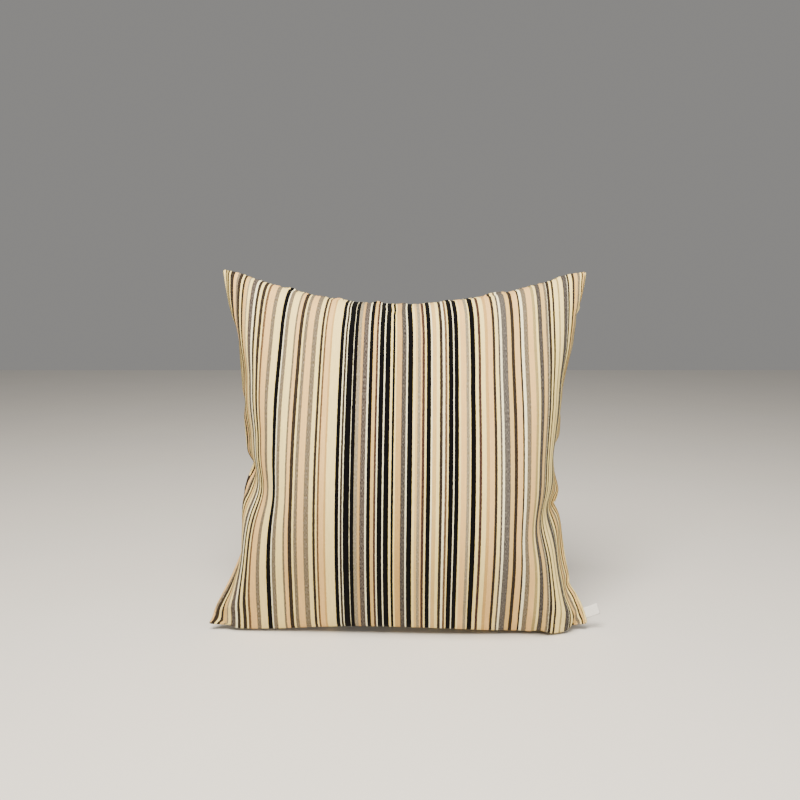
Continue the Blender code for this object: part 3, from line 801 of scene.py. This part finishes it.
def addTape(name, node):
    boxLow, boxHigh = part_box(node)
    middle, size = (boxLow + boxHigh) / 2, boxHigh - boxLow
    bm = bmesh.new()
    uvs = bm.loops.layers.uv.new("cloth")
    bmesh.ops.create_grid(bm, x_segments=120, y_segments=8, size=1.0)
    for vert in bm.verts:
        x, y = vert.co.x * size.x / 2, middle.y + vert.co.y * size.y / 2
        for loop in vert.link_loops:
            loop[uvs].uv = (y, x)
        proud = zipper["selvedge"] * (abs(vert.co.y) > 0.7)
        vert.co = (x, y, boxHigh.z - zipper["selvedge"] + proud)
    tape = addMesh(name, bm, finish["tape"], slot="zip_tape", replaced=(node,))
    addWall(tape, size.z - zipper["selvedge"])


def addCoil(name, node):
    boxLow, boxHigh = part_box(node)
    wire = zipper["wire"]
    middle, size = (boxLow + boxHigh) / 2, boxHigh - boxLow
    length = size.x - 2 * wire
    count = round(length / zipper["coilPitch"]) * zipper["coilSteps"]
    run = []
    for number in range(count + 1):
        angle = math.tau * number / zipper["coilSteps"]
        run.append((boxLow.x + wire + length * number / count,
                    middle.y + math.cos(angle) * (size.y / 2 - wire),
                    middle.z + math.sin(angle) * (size.z / 2 - wire)))
    addThread(name, run, wire, finish["coil"], slot="zip_tooth", replaced=(node,))


def addZipStitches(name, side, node):
    # each stitch goes down through the tape and the cover, along, and up again
    above, below = tapeHigh.z + 0.0001, ceiling - 0.00012
    start = -zipHalf + zipper["endSpare"]
    y = seamY + side * zipper["stitchLine"]
    run = []
    for number in range(int(-2 * start / zipper["stitch"])):
        for part, z in ((0.0, above), (0.12, below), (0.80, below), (0.92, above)):
            run.append((start + (number + part) * zipper["stitch"], y, z))
    addThread(name, run, zipper["stitchRadius"], finish["zipThread"], slot="zip_thread", replaced=(node,))


def addRounded(name, node, body, radius):
    # the solid itself, its facets joined and its edges rounded
    bm = bmesh.new()
    bm.from_mesh(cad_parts[node].data)
    bmesh.ops.remove_doubles(bm, verts=bm.verts, dist=1e-6)
    bmesh.ops.dissolve_limit(bm, angle_limit=math.radians(2), verts=bm.verts, edges=bm.edges)
    crisp = [edge for edge in bm.edges if edge.is_manifold and edge.calc_face_angle(0) > math.radians(30)]
    bmesh.ops.bevel(bm, geom=crisp, offset=radius, offset_type="OFFSET", segments=2, profile=0.5,
                    affect="EDGES", material=-1, clamp_overlap=True)
    piece = addMesh(name, bm, finish["metal"], body=body, slot="zip_metal", replaced=(node,))
    piece.data.set_sharp_from_angle(angle=math.radians(50))


for side, face in ((-1, "front"), (1, "back")):
    addTape(f"zip_tape_{face}_woven", f"zip_tape_{face}")
    addCoil(f"zip_coil_{face}", f"zip_teeth_{face}")
    addZipStitches(f"zip_stitches_{face}", side, f"zip_stitching_{face}")
    addRounded(f"top_stop_{face}", f"zip_top_stop_{face}", "pillow", zipper["stopEdge"])
addRounded("bottom_stop", "zip_bottom_stop", "pillow", zipper["stopEdge"])
addRounded("slider_body", "zip_slider", "slider", zipper["sliderEdge"])
addRounded("pull_tab", "zip_pull", "pull", zipper["sliderEdge"])
print("zip fitted")

# the casing and the fibre in it, each the cover's own shape drawn inwards
insert = {
    "cells": 56, "seamGap": 0.0010,
    "casingShare": 0.950, "casingDepth": 0.0022, "casingCloth": 0.0004, "casingLift": 0.019,
    "fillShare": 0.925, "fillDepth": 0.0045, "fillLift": 0.023, "lumps": 0.0022, "lumpScale": 28.0,
    "sideLift": 0.003, "zipClear": 0.012, "zipFade": 0.030,
    "stitch": 0.0015, "stitchReach": 0.00055, "stitchRadius": 0.0002,
}


def drawnIn(side, share, depth, lumps):
    size, cells = cover["cells"], insert["cells"]
    table = shape[side]
    normal = unit(np.cross(np.gradient(table, axis=0), np.gradient(table, axis=1))) * -side
    out = np.zeros((cells + 1, cells + 1, 3))
    for i in range(cells + 1):
        for j in range(cells + 1):
            u, v = (((2 * step / cells - 1) * share + 1) * size / 2 for step in (i, j))
            i0, j0 = min(int(u), size - 1), min(int(v), size - 1)
            a, b = u - i0, v - j0
            corners = ((i0, j0, (1 - a) * (1 - b)), (i0 + 1, j0, a * (1 - b)),
                       (i0, j0 + 1, (1 - a) * b), (i0 + 1, j0 + 1, a * b))
            point = sum(table[m, n] * weight for m, n, weight in corners)
            way = unit(sum(normal[m, n] * weight for m, n, weight in corners))
            lump = lumps * (0.5 + 0.5 * noise.noise(Vector(point) * insert["lumpScale"]))
            out[i, j] = point - way * (depth + lump)
    return out


def insertTables(share, depth, gap, lumps, lift):
    tables = {side: drawnIn(side, share, depth, lumps) for side in (-1, 1)}
    middle = (tables[-1] + tables[1]) / 2
    for side, table in tables.items():
        # both faces meet on the middle line at the border, and stay a little apart inside it
        for edge in (np.s_[0, :], np.s_[-1, :], np.s_[:, 0], np.s_[:, -1]):
            table[edge] = middle[edge]
            table[edge + (1,)] += side * gap / 2
        apart = side * (table[..., 1] - middle[..., 1])
        table[..., 1] += side * np.maximum(gap / 2 - apart, 0)
        # clear of the zip
        near = np.clip(1 - (np.abs(table[..., 1] - seamY) - insert["zipClear"]) / insert["zipFade"], 0, 1)
        rise = (lift - insert["sideLift"]) * near * near * (3 - 2 * near)
        table[..., 2] = np.maximum(table[..., 2], insert["sideLift"] + rise)
    return tables


def addCasingPanel(name, side, node):
    cells, cut = insert["cells"], cover["cut"] * insert["casingShare"]
    bm = bmesh.new()
    uvs = bm.loops.layers.uv.new("cloth")
    bmesh.ops.create_grid(bm, x_segments=cells, y_segments=cells, size=1.0)
    if side > 0:
        bmesh.ops.reverse_faces(bm, faces=bm.faces[:])
    for vert in bm.verts:
        u, v = vert.co.x, vert.co.y
        for loop in vert.link_loops:
            loop[uvs].uv = (u * cut / 2, v * cut / 2)
        vert.co = casing[side][round((u + 1) * cells / 2), round((v + 1) * cells / 2)]
    panel = addMesh(name, bm, finish["casing"], slot="casing_cotton", replaced=(node,))
    addRound(panel)
    addWall(panel, insert["casingCloth"])


casingGap = insert["seamGap"] + 2 * insert["casingCloth"]
casing = insertTables(insert["casingShare"], insert["casingDepth"], casingGap, 0.0, insert["casingLift"])
addCasingPanel("casing_front", -1, "insert_casing_front")
addCasingPanel("casing_back", 1, "insert_casing_back")

cells = insert["cells"]
casingMiddle = (casing[-1] + casing[1]) / 2
around = [(i, 0) for i in range(cells)] + [(cells, j) for j in range(cells)]
around += [(cells - i, cells - j) for i, j in around] + around[:1]
edgePoints, = spaced(np.array([casingMiddle[step] for step in around]), insert["stitch"])
zigzag = edgePoints + np.array((0, 1, 0)) * everyOther(edgePoints, insert["stitchReach"])
addThread("casing_stitches", zigzag[:-1], insert["stitchRadius"], finish["casingThread"], cyclic=True,
          slot="casing_thread", replaced=("insert_seam_thread",))

insertLabel = {"width": 0.030, "length": 0.005, "tuck": 0.0006, "leaf": 0.0003, "cloth": 0.00018,
               "out": 0.0009, "curl": 0.0004}
rightSide = casingMiddle[cells]
at = cells // 3
addLoopLabel("casing_label", insertLabel, Vector(rightSide[at]) + Vector((insertLabel["out"], 0, 0)),
             Vector(rightSide[at + 1] - rightSide[at - 1]).normalized(),
             Vector((1, 0, 0)), Vector((0, 1, 0)), "insert_label")

fibre = insertTables(insert["fillShare"], insert["fillDepth"], 0.0, insert["lumps"], insert["fillLift"])
bm = bmesh.new()
for side in (-1, 1):
    made = bmesh.ops.create_grid(bm, x_segments=cells, y_segments=cells, size=1.0)["verts"]
    if side > 0:
        bmesh.ops.reverse_faces(bm, faces=list({face for vert in made for face in vert.link_faces}))
    for vert in made:
        vert.co = fibre[side][round((vert.co.x + 1) * cells / 2), round((vert.co.y + 1) * cells / 2)]
bmesh.ops.remove_doubles(bm, verts=[vert for vert in bm.verts if vert.is_boundary], dist=1e-5)
bmesh.ops.recalc_face_normals(bm, faces=bm.faces[:])
filling = addMesh("fibre_filling", bm, finish["fibre"], slot="fibre", replaced=("filling",))
addRound(filling)
print("insert made")

studio = {
    "floor": (0.72, 0.70, 0.67, 1), "floorOther": (0.75, 0.73, 0.70, 1),
    "keyPower": 92.0, "keySize": 0.9, "keyPlace": (-0.2, -0.95, 1.65), "keyAim": (0, 0, 0.3),
    "keyColour": (1.0, 0.92, 0.79),
    "fillPower": 9.0, "fillSize": 1.2, "fillPlace": (1.1, -0.9, 0.7), "fillAim": (0, 0, 0.2),
    "fillColour": (1.0, 0.97, 0.93),
    "world": 0.26, "worldColour": (1.0, 0.98, 0.95, 1),
    "distance": 1.02, "tilt": 8.0, "aim": 0.281, "aside": -0.004, "lens": 39.0,
}

bm = bmesh.new()
bmesh.ops.create_grid(bm, x_segments=1, y_segments=1, size=3.0)
floorMesh = bpy.data.meshes.new("studio_floor")
bm.to_mesh(floorMesh)
bm.free()
floor = bpy.data.objects.new("studio_floor", floorMesh)
bpy.context.scene.collection.objects.link(floor)
pale, paleTree, paleShader = newMaterial("paleFloor", 0.8, specular=0.2)
mottle = speckle(paleTree, put(paleTree, "TexCoord").outputs["Object"], 6.0, 2.0)
paint(paleTree, paleShader, mixColour(paleTree, mottle, studio["floor"], studio["floorOther"]))
floorMesh.materials.append(pale)


def addLight(name):
    lamp = bpy.data.lights.new(name, "AREA")
    lamp.energy, lamp.size, lamp.color = (studio[name + part] for part in ("Power", "Size", "Colour"))
    holder = bpy.data.objects.new(name, lamp)
    bpy.context.scene.collection.objects.link(holder)
    place, aim = Vector(studio[name + "Place"]), Vector(studio[name + "Aim"])
    holder.location = place
    holder.rotation_euler = (aim - place).to_track_quat("-Z", "Y").to_euler()


addLight("key")
addLight("fill")

world = bpy.data.worlds.new("softRoom")
world.use_nodes = True
background = world.node_tree.nodes["Background"]
background.inputs["Color"].default_value = studio["worldColour"]
background.inputs["Strength"].default_value = studio["world"]
bpy.context.scene.world = world

lens = bpy.data.cameras.new("camera")
lens.lens, lens.sensor_width = studio["lens"], 36.0
camera = bpy.data.objects.new("camera", lens)
bpy.context.scene.collection.objects.link(camera)
tilt = math.radians(studio["tilt"])
back, up = math.cos(tilt) * studio["distance"], math.sin(tilt) * studio["distance"]
camera.location = Vector((studio["aside"], -back, up + studio["aim"]))
camera.rotation_euler = (math.radians(90) - tilt, 0, 0)
bpy.context.scene.camera = camera
print("studio set")
